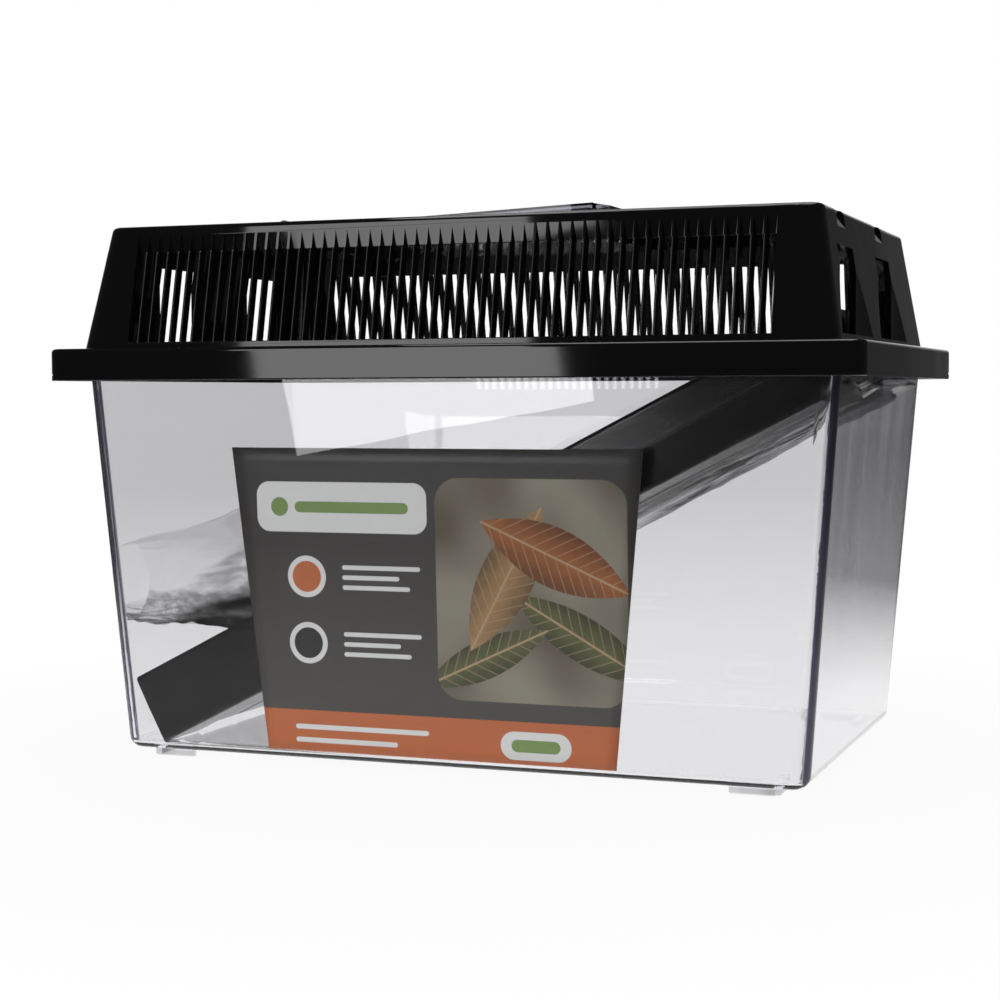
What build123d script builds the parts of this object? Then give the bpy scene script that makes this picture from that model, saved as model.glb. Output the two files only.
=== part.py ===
"""Cricket keeper box: a clear drafted tank with a black slotted lid, a clear feeding door on
the lid, four black climbing tubes (one loose, three in a film bag) and a card behind the front wall.

Millimetres, +Z up, +X along the length, front face towards -Y.
The origin is on the surface that the feet stand on, at the middle of the box.
"""
from build123d import *
import math
import os

# ---------------------------------------------------------------- driving dimensions

# tank
foot_height = 2.5
foot_length = 16.0
foot_width = 3.0
foot_inset = 5.0
tank_mouth_z = 148.6
tank_mouth_inset = 10.0
tank_taper_length = 23.2
tank_taper_width = 13.8
tank_wall = 2.0
tank_floor = 2.2
tank_corner_r = 6.0
tank_bottom_edge_r = 4.5
tank_inner_edge_r = 1.0
tank_flange_thickness = 2.2

# lid
rim_length = 300.0
rim_width = 194.0
rim_height = 11.7
rim_corner_r = 6.5
rim_edge_r = 1.5
rim_bead_height = 2.0
rim_groove = 0.5
lid_ledge_thickness = 2.4
lid_ledge_at_ends = 9.85
lid_ledge_at_sides = 6.1
lid_rise = 44.8
lid_taper_length = 14.6
lid_taper_width = 19.9
lid_wall = 2.2
lid_foot_corner_r = 8.5
lid_top_corner_r = 6.5
lid_top_edge_r = 2.0
lid_on_tank_clearance = 0.5

# grilles in the front and back of the lid
gap_count = 54
gap_pitch = 4.42
gap_inner_width = 1.87
rib_crest = 0.9
gap_above_rim = 2.2
gap_below_top = 9.9
ramp_below_top = 3.8

# tube ports in the ends of the lid
port_width = 28.4
port_above_rim = 2.8
port_below_top = 12.6
near_port_y = -51.0
far_port_y = 21.0
left_near_port_y = -27.0
left_far_port_y = 45.0
scoop_r = 85.0
scoop_floor_drop = 0.5
notch_width = 14.0
notch_depth = 1.8
notch_height = 6.2

# feeding door and the hole under it
hatch_left_x = -77.0
hatch_right_x = 41.0
hatch_width = 92.0
hatch_corner_r = 4.0
hatch_flange_depth = 3.0
hatch_flange_thickness = 1.8
door_overlap = 4.5
door_thickness = 1.6
door_skirt = 1.6
door_bend_x = -48.0
door_rise_slope = 0.041
door_lip_length = 5.0
door_catch_width = 16.0
door_catch_depth = 3.6
door_catch_thickness = 1.4
door_catch_clearance = 0.35
hinge_pin_r = 1.2
hinge_running_clearance = 0.06
hinge_barrel_r = 2.0
hinge_barrel_length = 52.0
hinge_end_clearance = 0.3
hinge_axis_height = 2.45
hinge_offset = 4.0
ear_thickness = 4.0
ear_r = 2.7

# climbing tubes
tube_low_end_gap = 13.0747
tube_outer_end_gap = 5.6653
tube_width = 27.4
tube_height = 26.5
tube_wall = 1.6
tube_corner_r = 2.0
tube_side_draft = 0.3
tube_slope = 27.2
tube_end_tilt = 23.25
tube_lip = 1.6
loose_tube_wall_gap = 1.9
pack_gap = 2.3
packed_tube_gap = 0.3
packed_tube_count = 3

# film bag round the packed tubes
film = 0.5
film_clearance = 0.4
film_overhang = 0.4
bag_flap_thickness = 5.0
bag_flap_base = 24.0
bag_flap_top_length = 40.0
bag_flap_top_z = 90.0
bag_flap_top_from_tubes = 3.0
bag_flap_top_offset = 5.5

# printed card behind the front wall
card_thickness = 0.5
card_height = 109.5
card_left_bottom_x = -69.2
card_right_bottom_x = 63.0
card_left_top_x = -80.6
card_right_top_x = 73.8

soft_clearance = 0.3

# ---------------------------------------------------------------- worked-out dimensions

tank_mouth_length = rim_length - 2 * tank_mouth_inset
tank_mouth_width = rim_width - 2 * tank_mouth_inset
tank_bottom_length = tank_mouth_length - tank_taper_length
tank_bottom_width = tank_mouth_width - tank_taper_width
rim_top_z = tank_mouth_z + lid_ledge_thickness
rim_bottom_z = rim_top_z - rim_height
lid_top_z = rim_top_z + lid_rise
lid_foot_length = rim_length - 2 * lid_ledge_at_ends
lid_foot_width = rim_width - 2 * lid_ledge_at_sides
lid_top_length = lid_foot_length - lid_taper_length
lid_top_width = lid_foot_width - lid_taper_width
gap_bottom_z = rim_top_z + gap_above_rim
gap_top_z = lid_top_z - gap_below_top
ramp_top_z = lid_top_z - ramp_below_top
port_bottom_z = rim_top_z + port_above_rim
port_top_z = lid_top_z - port_below_top
notch_bottom_z = lid_top_z - notch_height
skirt_inner_length = rim_length - 2 * lid_wall
skirt_inner_width = rim_width - 2 * lid_wall
skirt_inner_corner_r = rim_corner_r - lid_wall
flange_length = skirt_inner_length - 2 * lid_on_tank_clearance
flange_width = skirt_inner_width - 2 * lid_on_tank_clearance
flange_corner_r = skirt_inner_corner_r - lid_on_tank_clearance
floor_top_z = foot_height + tank_floor
tank_rise = tank_mouth_z - foot_height
tank_draft_x = (tank_mouth_length - tank_bottom_length) / 2 / tank_rise
tank_draft_y = (tank_mouth_width - tank_bottom_width) / 2 / tank_rise
lid_draft_x = (lid_foot_length - lid_top_length) / 2 / lid_rise
lid_draft_y = (lid_foot_width - lid_top_width) / 2 / lid_rise
ceiling_z = lid_top_z - lid_wall
cut = 1.0


def tank_half_length(z):
    """Half the outside length of the tank at a height."""
    return tank_bottom_length / 2 + tank_draft_x * (z - foot_height)


def tank_half_width(z):
    """Half the outside width of the tank at a height."""
    return tank_bottom_width / 2 + tank_draft_y * (z - foot_height)


def lid_half_length(z):
    """Half the outside length of the lid's sloping walls at a height."""
    return lid_top_length / 2 + lid_draft_x * (lid_top_z - z)


def lid_half_width(z):
    """Half the outside width of the lid's sloping walls at a height."""
    return lid_top_width / 2 + lid_draft_y * (lid_top_z - z)


def drafted_block(half_length, half_width, corner_at, z_low, z_high, inset):
    """A closed block with sloping sides, its faces set in by inset from the given outline."""
    with BuildPart() as block:
        for z in (z_low, z_high):
            with BuildSketch(Plane.XY.offset(z)):
                RectangleRounded(
                    2 * (half_length(z) - inset),
                    2 * (half_width(z) - inset),
                    corner_at(z) - inset,
                )
        loft(ruled=True)
    return block.part


def tank_corner(z):
    """Outside corner radius of the tank, the same at every height."""
    return tank_corner_r


def lid_corner(z):
    """Outside corner radius of the lid's walls, larger at the foot."""
    share = (lid_top_z - z) / lid_rise
    return lid_top_corner_r + (lid_foot_corner_r - lid_top_corner_r) * share


# ---------------------------------------------------------------- tank

foot_y = tank_bottom_width / 2 - foot_inset
foot_x = tank_bottom_length / 2 - foot_inset - tank_corner_r

tank_outside = drafted_block(
    tank_half_length, tank_half_width, tank_corner, foot_height, tank_mouth_z, 0
)
tank_inside = drafted_block(
    tank_half_length, tank_half_width, tank_corner, floor_top_z, tank_mouth_z + cut, tank_wall
)

with BuildPart() as tank_cavity:
    add(tank_inside)
    fillet(tank_cavity.edges().group_by(Axis.Z)[0], radius=tank_inner_edge_r)

with BuildPart() as tank:
    add(tank_outside)
    fillet(tank.edges().group_by(Axis.Z)[0], radius=tank_bottom_edge_r)
    with BuildSketch(Plane.XY.offset(tank_mouth_z - tank_flange_thickness)):
        RectangleRounded(flange_length, flange_width, flange_corner_r)
    extrude(amount=tank_flange_thickness)
    add(tank_cavity.part, mode=Mode.SUBTRACT)
    # low L-shaped feet under the four corners
    with BuildSketch(Plane.XY):
        for side_x in (-1, 1):
            for side_y in (-1, 1):
                with Locations((side_x * (foot_x - foot_length / 2), side_y * foot_y)):
                    SlotOverall(foot_length, foot_width)
                with Locations((side_x * foot_x, side_y * (foot_y - foot_length / 2))):
                    SlotOverall(foot_length, foot_width, rotation=90)
    extrude(amount=foot_height + cut)
tank.part.label = "tank"

# ---------------------------------------------------------------- lid

wall_tilt_y = math.degrees(math.atan(lid_draft_y))
front_foot_y = -lid_half_width(gap_bottom_z)

# one gap of the grille: a keystone slot that runs out at the top in a ramp
gap_length = (gap_top_z - gap_bottom_z) / math.cos(math.radians(wall_tilt_y))
ramp_length = (ramp_top_z - gap_bottom_z) / math.cos(math.radians(wall_tilt_y))
gap_plane = Plane(
    origin=(0, front_foot_y, gap_bottom_z),
    x_dir=(0, lid_draft_y, 1),
    z_dir=(1, 0, 0),
)
keystone_plane = Plane(
    origin=(0, front_foot_y, gap_bottom_z),
    x_dir=(1, 0, 0),
    z_dir=(0, lid_draft_y, 1),
)
mouth_width = gap_pitch - rib_crest
ramp_run = ramp_length - gap_length
mouth_spread = (mouth_width - gap_inner_width) / lid_wall

with BuildPart() as grille_gap:
    with BuildSketch(gap_plane):
        with BuildLine():
            Polyline(
                (0, cut),
                (ramp_length + ramp_run * cut / lid_wall, cut),
                (gap_length, -lid_wall),
                (gap_length, -lid_wall - cut),
                (0, -lid_wall - cut),
                close=True,
            )
        make_face()
    extrude(amount=gap_pitch / 2, both=True)
    with BuildSketch(keystone_plane):
        with BuildLine():
            Polyline(
                (-mouth_width / 2 - mouth_spread * cut / 2, -cut),
                (mouth_width / 2 + mouth_spread * cut / 2, -cut),
                (gap_inner_width / 2, lid_wall),
                (gap_inner_width / 2, lid_wall + cut),
                (-gap_inner_width / 2, lid_wall + cut),
                (-gap_inner_width / 2, lid_wall),
                close=True,
            )
        make_face()
    extrude(amount=ramp_length + ramp_run, mode=Mode.INTERSECT)

# where each tube port sits: the end it is in, and its place across that end
ports = [(1, near_port_y), (1, far_port_y), (-1, left_near_port_y), (-1, left_far_port_y)]
scoop_start_x = lid_half_length(port_top_z)
scoop_axis_x = scoop_start_x + scoop_r

# wedge-shaped notch in the wall's top edge over each port
notch_bottom_x = lid_half_length(notch_bottom_z)
notch_top_x = lid_half_length(lid_top_z) - notch_depth

hatch_length = hatch_right_x - hatch_left_x
hatch_x = (hatch_left_x + hatch_right_x) / 2
hinge_x = hatch_left_x - door_overlap - hinge_offset
hinge_z = lid_top_z + hinge_axis_height
ear_y = hinge_barrel_length / 2 + hinge_end_clearance + ear_thickness / 2

lid_outside = drafted_block(
    lid_half_length, lid_half_width, lid_corner, rim_top_z - lid_wall, lid_top_z, 0
)
lid_inside = drafted_block(
    lid_half_length, lid_half_width, lid_corner, tank_mouth_z - cut, ceiling_z, lid_wall
)

with BuildPart() as lid_walls:
    add(lid_outside)
    fillet(lid_walls.edges().group_by(Axis.Z)[-1], radius=lid_top_edge_r)

# the space under the walls, less the ports' curved walls that stand in from the sloping ends
with BuildPart() as lid_hollow:
    add(lid_inside)
    for side, port_y in ports:
        with BuildSketch(Plane.XY.offset(tank_mouth_z)):
            with Locations((side * scoop_axis_x, port_y)):
                Circle(scoop_r + lid_wall)
        extrude(amount=port_top_z + lid_wall - tank_mouth_z, mode=Mode.SUBTRACT)

with BuildPart() as lid:
    with BuildSketch(Plane.XY.offset(rim_bottom_z)):
        RectangleRounded(rim_length, rim_width, rim_corner_r)
    extrude(amount=rim_top_z - rim_bottom_z)
    fillet(lid.edges().group_by(Axis.Z)[-1], radius=rim_edge_r)
    fillet(lid.edges().group_by(Axis.Z)[0], radius=rim_groove)
    # shallow groove that sets off the bead along the rim's lower edge
    with BuildSketch(Plane.XY.offset(rim_bottom_z + rim_bead_height)):
        RectangleRounded(rim_length + cut, rim_width + cut, rim_corner_r + cut / 2)
        RectangleRounded(
            rim_length - rim_groove,
            rim_width - rim_groove,
            rim_corner_r - rim_groove / 2,
            mode=Mode.SUBTRACT,
        )
    extrude(amount=rim_groove, mode=Mode.SUBTRACT)
    add(lid_walls.part)
    # hollow: the rim's skirt, then the space under the sloping walls
    with BuildSketch(Plane.XY.offset(rim_bottom_z - cut)):
        RectangleRounded(skirt_inner_length, skirt_inner_width, skirt_inner_corner_r)
    extrude(amount=tank_mouth_z - rim_bottom_z + cut, mode=Mode.SUBTRACT)
    add(lid_hollow.part, mode=Mode.SUBTRACT)
    # scoops in the outside of the end walls, and the ports through them
    for side, port_y in ports:
        with BuildSketch(Plane.XY.offset(port_bottom_z - scoop_floor_drop)):
            with Locations((side * scoop_axis_x, port_y)):
                Circle(scoop_r)
        extrude(amount=port_top_z - port_bottom_z + 2 * cut, mode=Mode.SUBTRACT)
    for side, port_y in ports:
        with Locations((side * scoop_start_x, port_y, (port_bottom_z + port_top_z) / 2)):
            Box(8 * lid_wall, port_width, port_top_z - port_bottom_z, mode=Mode.SUBTRACT)
    # notches in the top edge, over the ports
    for side, port_y in ports:
        with BuildSketch(Plane.XZ.offset(-port_y - notch_width / 2)):
            with BuildLine():
                Polyline(
                    (side * notch_bottom_x, notch_bottom_z),
                    (side * notch_top_x, lid_top_z),
                    (side * notch_top_x, lid_top_z + cut),
                    (side * (notch_bottom_x + cut), lid_top_z + cut),
                    (side * (notch_bottom_x + cut), notch_bottom_z),
                    close=True,
                )
            make_face()
        extrude(amount=notch_width, mode=Mode.SUBTRACT)
    # hatch under the feeding door, with a flange hanging round it
    with BuildSketch(Plane.XY.offset(ceiling_z - hatch_flange_depth)):
        with Locations((hatch_x, 0)):
            RectangleRounded(
                hatch_length + 2 * hatch_flange_thickness,
                hatch_width + 2 * hatch_flange_thickness,
                hatch_corner_r + hatch_flange_thickness,
            )
    extrude(amount=hatch_flange_depth)
    with BuildSketch(Plane.XY.offset(ceiling_z - hatch_flange_depth)):
        with Locations((hatch_x, 0)):
            RectangleRounded(hatch_length, hatch_width, hatch_corner_r)
    extrude(amount=lid_wall + hatch_flange_depth + cut, mode=Mode.SUBTRACT)
    # two ears for the door's hinge
    for side in (-1, 1):
        with BuildSketch(Plane.XZ.offset(-side * ear_y - ear_thickness / 2)):
            with Locations((hinge_x, hinge_z)):
                Circle(ear_r)
            with Locations((hinge_x, (hinge_z + ceiling_z) / 2)):
                Rectangle(2 * ear_r, hinge_z - ceiling_z)
            with Locations((hinge_x, hinge_z)):
                Circle(hinge_pin_r + hinge_running_clearance, mode=Mode.SUBTRACT)
        extrude(amount=ear_thickness)
    # front and back grilles
    first_gap_x = -(gap_count - 1) / 2 * gap_pitch
    back_gap = mirror(grille_gap.part, about=Plane.XZ, mode=Mode.PRIVATE)
    gap_places = [(first_gap_x + i * gap_pitch, 0, 0) for i in range(gap_count)]
    with Locations(*gap_places):
        add(grille_gap.part, mode=Mode.SUBTRACT)
    with Locations(*gap_places):
        add(back_gap, mode=Mode.SUBTRACT)
lid.part.label = "lid"

# ---------------------------------------------------------------- feeding door

door_left_x = hatch_left_x - door_overlap
door_right_x = hatch_right_x + door_overlap
door_width = hatch_width + 2 * door_overlap
door_flat_z = lid_top_z + door_thickness


def door_top_z(x):
    """Height of the door's upper face, flat near the hinge and rising to the lip."""
    return door_flat_z + max(0.0, x - door_bend_x) * door_rise_slope


with BuildPart() as door:
    # closed wedge outline, then hollowed from below to a thin cap
    with BuildSketch(Plane.XZ.offset(-door_width / 2)):
        with BuildLine():
            Polyline(
                (door_left_x, lid_top_z),
                (door_right_x, lid_top_z),
                (door_right_x, door_top_z(door_right_x)),
                (door_bend_x, door_flat_z),
                (door_left_x, door_flat_z),
                close=True,
            )
        make_face()
    extrude(amount=door_width)
    with BuildSketch(Plane.XZ.offset(-door_width / 2 + door_skirt)):
        with BuildLine():
            Polyline(
                (door_bend_x, lid_top_z),
                (door_right_x - door_skirt, lid_top_z - cut),
                (door_right_x - door_skirt, door_top_z(door_right_x - door_skirt) - door_thickness),
                close=True,
            )
        make_face()
    extrude(amount=door_width - 2 * door_skirt, mode=Mode.SUBTRACT)
    # finger lip along the free end
    with BuildSketch(Plane.XZ.offset(-hatch_width / 2)):
        with BuildLine():
            Polyline(
                (door_right_x - cut, door_top_z(door_right_x - cut) - door_thickness),
                (door_right_x + door_lip_length, door_top_z(door_right_x) - door_thickness),
                (door_right_x + door_lip_length, door_top_z(door_right_x) - door_thickness / 2),
                (door_right_x, door_top_z(door_right_x)),
                (door_right_x - cut, door_top_z(door_right_x - cut)),
                close=True,
            )
        make_face()
    extrude(amount=hatch_width)
    # catch that drops inside the hatch
    with BuildSketch(Plane.XY.offset(lid_top_z - door_catch_depth)):
        with Locations((hatch_right_x - door_catch_clearance - door_catch_thickness / 2, 0)):
            Rectangle(door_catch_thickness, door_catch_width)
    extrude(amount=door_catch_depth + door_top_z(hatch_right_x) - lid_top_z - door_thickness / 2)
    # hinge barrel with a stub pin at each end, joined to the door by a narrow web
    web_length = door_left_x - hinge_x + cut
    with BuildSketch(Plane.XY.offset(lid_top_z)):
        with Locations((hinge_x + web_length / 2, 0)):
            Rectangle(web_length, hinge_barrel_length)
    extrude(amount=door_thickness)
    with BuildSketch(Plane.XZ.offset(-hinge_barrel_length / 2)):
        with Locations((hinge_x, hinge_z)):
            Circle(hinge_barrel_r)
    extrude(amount=hinge_barrel_length)
    pin_span = hinge_barrel_length + 2 * (hinge_end_clearance + ear_thickness)
    with BuildSketch(Plane.XZ.offset(-pin_span / 2)):
        with Locations((hinge_x, hinge_z)):
            Circle(hinge_pin_r)
    extrude(amount=pin_span)
door.part.label = "feeding_door"

# ---------------------------------------------------------------- climbing tubes

loose_tube_y = tank_wall - tank_half_width(floor_top_z) + loose_tube_wall_gap + tube_width / 2
packed_tube_y = loose_tube_y + tube_width + pack_gap
slope = math.radians(tube_slope)
# a tube reaches from one end wall of the tank to the other, less a gap at each end
tube_low_x = tank_wall + tube_low_end_gap - tank_half_length(floor_top_z)
tube_outer_x = tank_mouth_length / 2 - tank_wall - tube_outer_end_gap
tube_length = (tube_outer_x - tube_low_x) / math.cos(slope)
bag_flap_top_x = tube_low_x + bag_flap_top_from_tubes
axis_dir = Vector(math.cos(slope), 0, math.sin(slope))
up_dir = Vector(-math.sin(slope), 0, math.cos(slope))
loose_tube_z = floor_top_z + soft_clearance
packed_lift = film + film_clearance + 2 * soft_clearance
packed_tube_pitch = tube_width + packed_tube_gap


def tube_end_plane(y, lift, back=0.0):
    """Plane across the low end of a tube: X towards the back, Y up the end, Z along the tube."""
    corner = Vector(tube_low_x, y, loose_tube_z) + up_dir * lift - axis_dir * back
    return Plane(origin=corner, x_dir=(0, 1, 0), z_dir=axis_dir)


def outer_end_plane(y, lift, back=0.0):
    """Slanting plane of a tube's outer end, parallel to the lid's end wall when the tube is in use."""
    lean = math.radians(tube_slope - tube_end_tilt)
    normal = Vector(math.cos(lean), 0, math.sin(lean))
    corner = Vector(tube_low_x, y, loose_tube_z) + up_dir * lift + axis_dir * tube_length
    return Plane(origin=corner - normal * back, x_dir=(0, 1, 0), z_dir=normal)


def tube_outline(inset):
    """Corner points of a tube's section, with a faint crease along the middle of each side."""
    half = tube_width / 2 - inset
    narrow = half - tube_side_draft
    return [
        (-narrow, inset),
        (narrow, inset),
        (half, tube_height / 2),
        (narrow, tube_height - inset),
        (-narrow, tube_height - inset),
        (-half, tube_height / 2),
    ]


end_plate_height = tube_height / math.cos(math.radians(tube_end_tilt))
tube_places = [(loose_tube_y, 0.0)]
for i in range(packed_tube_count):
    tube_places.append((packed_tube_y + i * packed_tube_pitch, packed_lift))

# square tubes, open at the low end and closed by a slanting plate at the outer end
tubes = []
for number, (y, lift) in enumerate(tube_places, start=1):
    with BuildPart() as bore:
        with BuildSketch(tube_end_plane(y, lift, back=cut)):
            with BuildLine():
                Polyline(*tube_outline(tube_wall), close=True)
            make_face()
        extrude(amount=tube_length + tube_height)
        split(bisect_by=outer_end_plane(y, lift, back=tube_wall), keep=Keep.BOTTOM)
    with BuildPart() as tube:
        with BuildSketch(tube_end_plane(y, lift)) as section:
            with BuildLine():
                Polyline(*tube_outline(0), close=True)
            make_face()
            crease_x = tube_width / 2 - tube_side_draft / 2
            fillet(
                section.vertices().filter_by(lambda v: abs(v.X) < crease_x),
                radius=tube_corner_r,
            )
        extrude(amount=tube_length + tube_height)
        split(bisect_by=outer_end_plane(y, lift), keep=Keep.BOTTOM)
        add(bore.part, mode=Mode.SUBTRACT)
        # finger lip along the top of the outer end
        with BuildSketch(outer_end_plane(y, lift)):
            with Locations((0, end_plate_height + (tube_lip - tube_wall) / 2)):
                Rectangle(tube_width - 2 * tube_corner_r, tube_lip + tube_wall)
        extrude(amount=-tube_wall)
    tube.part.label = f"tube_{number}"
    tubes.append(tube.part)

# ---------------------------------------------------------------- film bag

pack_y = packed_tube_y + (packed_tube_count - 1) / 2 * packed_tube_pitch
pack_width = packed_tube_count * packed_tube_pitch - packed_tube_gap
bag_hollow_width = pack_width + 2 * film_clearance
tilt = math.radians(tube_end_tilt)
lip_reach = tube_lip * math.cos(tilt) + tube_wall * math.sin(tilt)
bag_hollow_height = tube_height + lip_reach + 2 * film_clearance
bag_width = bag_hollow_width + 2 * film
bag_height = bag_hollow_height + 2 * film
bag_mid_height = (tube_height + lip_reach) / 2
bag_top = packed_lift + tube_height + lip_reach + film_clearance + film

with BuildPart() as bag_hollow:
    with BuildSketch(tube_end_plane(pack_y, packed_lift, back=film_overhang + cut)):
        with Locations((0, bag_mid_height)):
            RectangleRounded(bag_hollow_width, bag_hollow_height, tube_corner_r - film)
    extrude(amount=tube_length + tube_height)
    split(bisect_by=outer_end_plane(pack_y, packed_lift, back=-film_clearance), keep=Keep.BOTTOM)

with BuildPart() as bag:
    with BuildSketch(tube_end_plane(pack_y, packed_lift, back=film_overhang)):
        with Locations((0, bag_mid_height)):
            RectangleRounded(bag_width, bag_height, tube_corner_r)
    extrude(amount=tube_length + tube_height)
    split(bisect_by=outer_end_plane(pack_y, packed_lift, back=-film - film_clearance), keep=Keep.BOTTOM)
    add(bag_hollow.part, mode=Mode.SUBTRACT)
    # empty end of the bag, turned up over the loose tube
    flap_base = tube_end_plane(pack_y - bag_width / 2, 0)
    flap_root = (
        flap_base.origin + up_dir * (bag_top - film) + axis_dir * (bag_flap_base / 2)
        + Vector(0, bag_flap_thickness / 2 + tube_corner_r, 0)
    )
    with BuildSketch(Plane(origin=flap_root, x_dir=axis_dir, z_dir=up_dir)):
        Rectangle(bag_flap_base, bag_flap_thickness)
    with BuildSketch(Plane.XY.offset(bag_flap_top_z)):
        with Locations((bag_flap_top_x, loose_tube_y - bag_flap_top_offset)):
            Rectangle(bag_flap_top_length, bag_flap_thickness)
    loft(ruled=True)
bag.part.label = "tube_bag"

# ---------------------------------------------------------------- printed card

card_bottom_z = floor_top_z + tank_inner_edge_r
card_inner_y = -(tank_half_width(card_bottom_z) - tank_wall)
card_plane = Plane(
    origin=(0, card_inner_y, card_bottom_z),
    x_dir=(1, 0, 0),
    z_dir=(0, -1, -tank_draft_y),
)

with BuildPart() as card:
    with BuildSketch(card_plane):
        with BuildLine():
            Polyline(
                (card_left_bottom_x, 0),
                (card_right_bottom_x, 0),
                (card_right_top_x, card_height),
                (card_left_top_x, card_height),
                close=True,
            )
        make_face()
    extrude(amount=-card_thickness)
card.part.label = "label_card"

# ---------------------------------------------------------------- files

os.makedirs("parts", exist_ok=True)
for piece in [tank.part, lid.part, door.part, *tubes, bag.part, card.part]:
    export_step(piece, f"parts/{piece.label}.step")
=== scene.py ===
"""Looks for the cricket keeper box: a clear tank, a glossy black slotted lid, a clear door,
black tubes, a crumpled clear bag and a card of generic design. Metres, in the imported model's frame."""

import math

import bmesh
import bpy
from mathutils import Matrix, Quaternion, Vector, noise


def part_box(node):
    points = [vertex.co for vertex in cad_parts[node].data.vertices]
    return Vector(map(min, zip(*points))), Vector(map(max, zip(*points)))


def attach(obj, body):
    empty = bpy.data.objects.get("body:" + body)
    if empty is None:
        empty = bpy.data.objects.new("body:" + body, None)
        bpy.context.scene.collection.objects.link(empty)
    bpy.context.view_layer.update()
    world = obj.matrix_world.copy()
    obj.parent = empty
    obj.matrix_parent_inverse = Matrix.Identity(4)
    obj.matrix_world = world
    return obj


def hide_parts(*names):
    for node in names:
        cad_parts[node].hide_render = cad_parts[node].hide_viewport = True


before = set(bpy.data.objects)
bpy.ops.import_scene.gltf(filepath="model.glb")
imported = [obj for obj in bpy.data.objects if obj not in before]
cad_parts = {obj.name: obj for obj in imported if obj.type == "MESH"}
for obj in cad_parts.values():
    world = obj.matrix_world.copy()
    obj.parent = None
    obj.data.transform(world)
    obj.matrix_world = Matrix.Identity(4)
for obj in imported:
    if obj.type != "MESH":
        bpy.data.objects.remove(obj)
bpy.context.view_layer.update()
MM = 0.001

# ---------------------------------------------------------------- camera

CAMERA_PLACE = Vector((0.2639, -0.7254, 0.1339))
CAMERA_YAW = math.radians(20.584)
CAMERA_PITCH = math.radians(-3.029)
CAMERA_ROLL = math.radians(-0.205)
CAMERA_LENS = 72.0
SENSOR = 36.0


def make_camera():
    """The photograph's viewpoint, as found from the straight edges of the rim, lid and tank."""
    forward = Vector((
        -math.sin(CAMERA_YAW) * math.cos(CAMERA_PITCH),
        math.cos(CAMERA_YAW) * math.cos(CAMERA_PITCH),
        math.sin(CAMERA_PITCH),
    ))
    level = Vector((math.cos(CAMERA_YAW), math.sin(CAMERA_YAW), 0.0))
    upright = level.cross(forward)
    right = level * math.cos(CAMERA_ROLL) + upright * math.sin(CAMERA_ROLL)
    up = upright * math.cos(CAMERA_ROLL) - level * math.sin(CAMERA_ROLL)
    data = bpy.data.cameras.new("camera")
    data.lens = CAMERA_LENS
    data.sensor_width = SENSOR
    data.clip_start = 0.01
    camera = bpy.data.objects.new("camera", data)
    bpy.context.scene.collection.objects.link(camera)
    camera.matrix_world = Matrix((
        (right.x, up.x, -forward.x, CAMERA_PLACE.x),
        (right.y, up.y, -forward.y, CAMERA_PLACE.y),
        (right.z, up.z, -forward.z, CAMERA_PLACE.z),
        (0.0, 0.0, 0.0, 1.0),
    ))
    bpy.context.scene.camera = camera


# ---------------------------------------------------------------- node helpers


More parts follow.
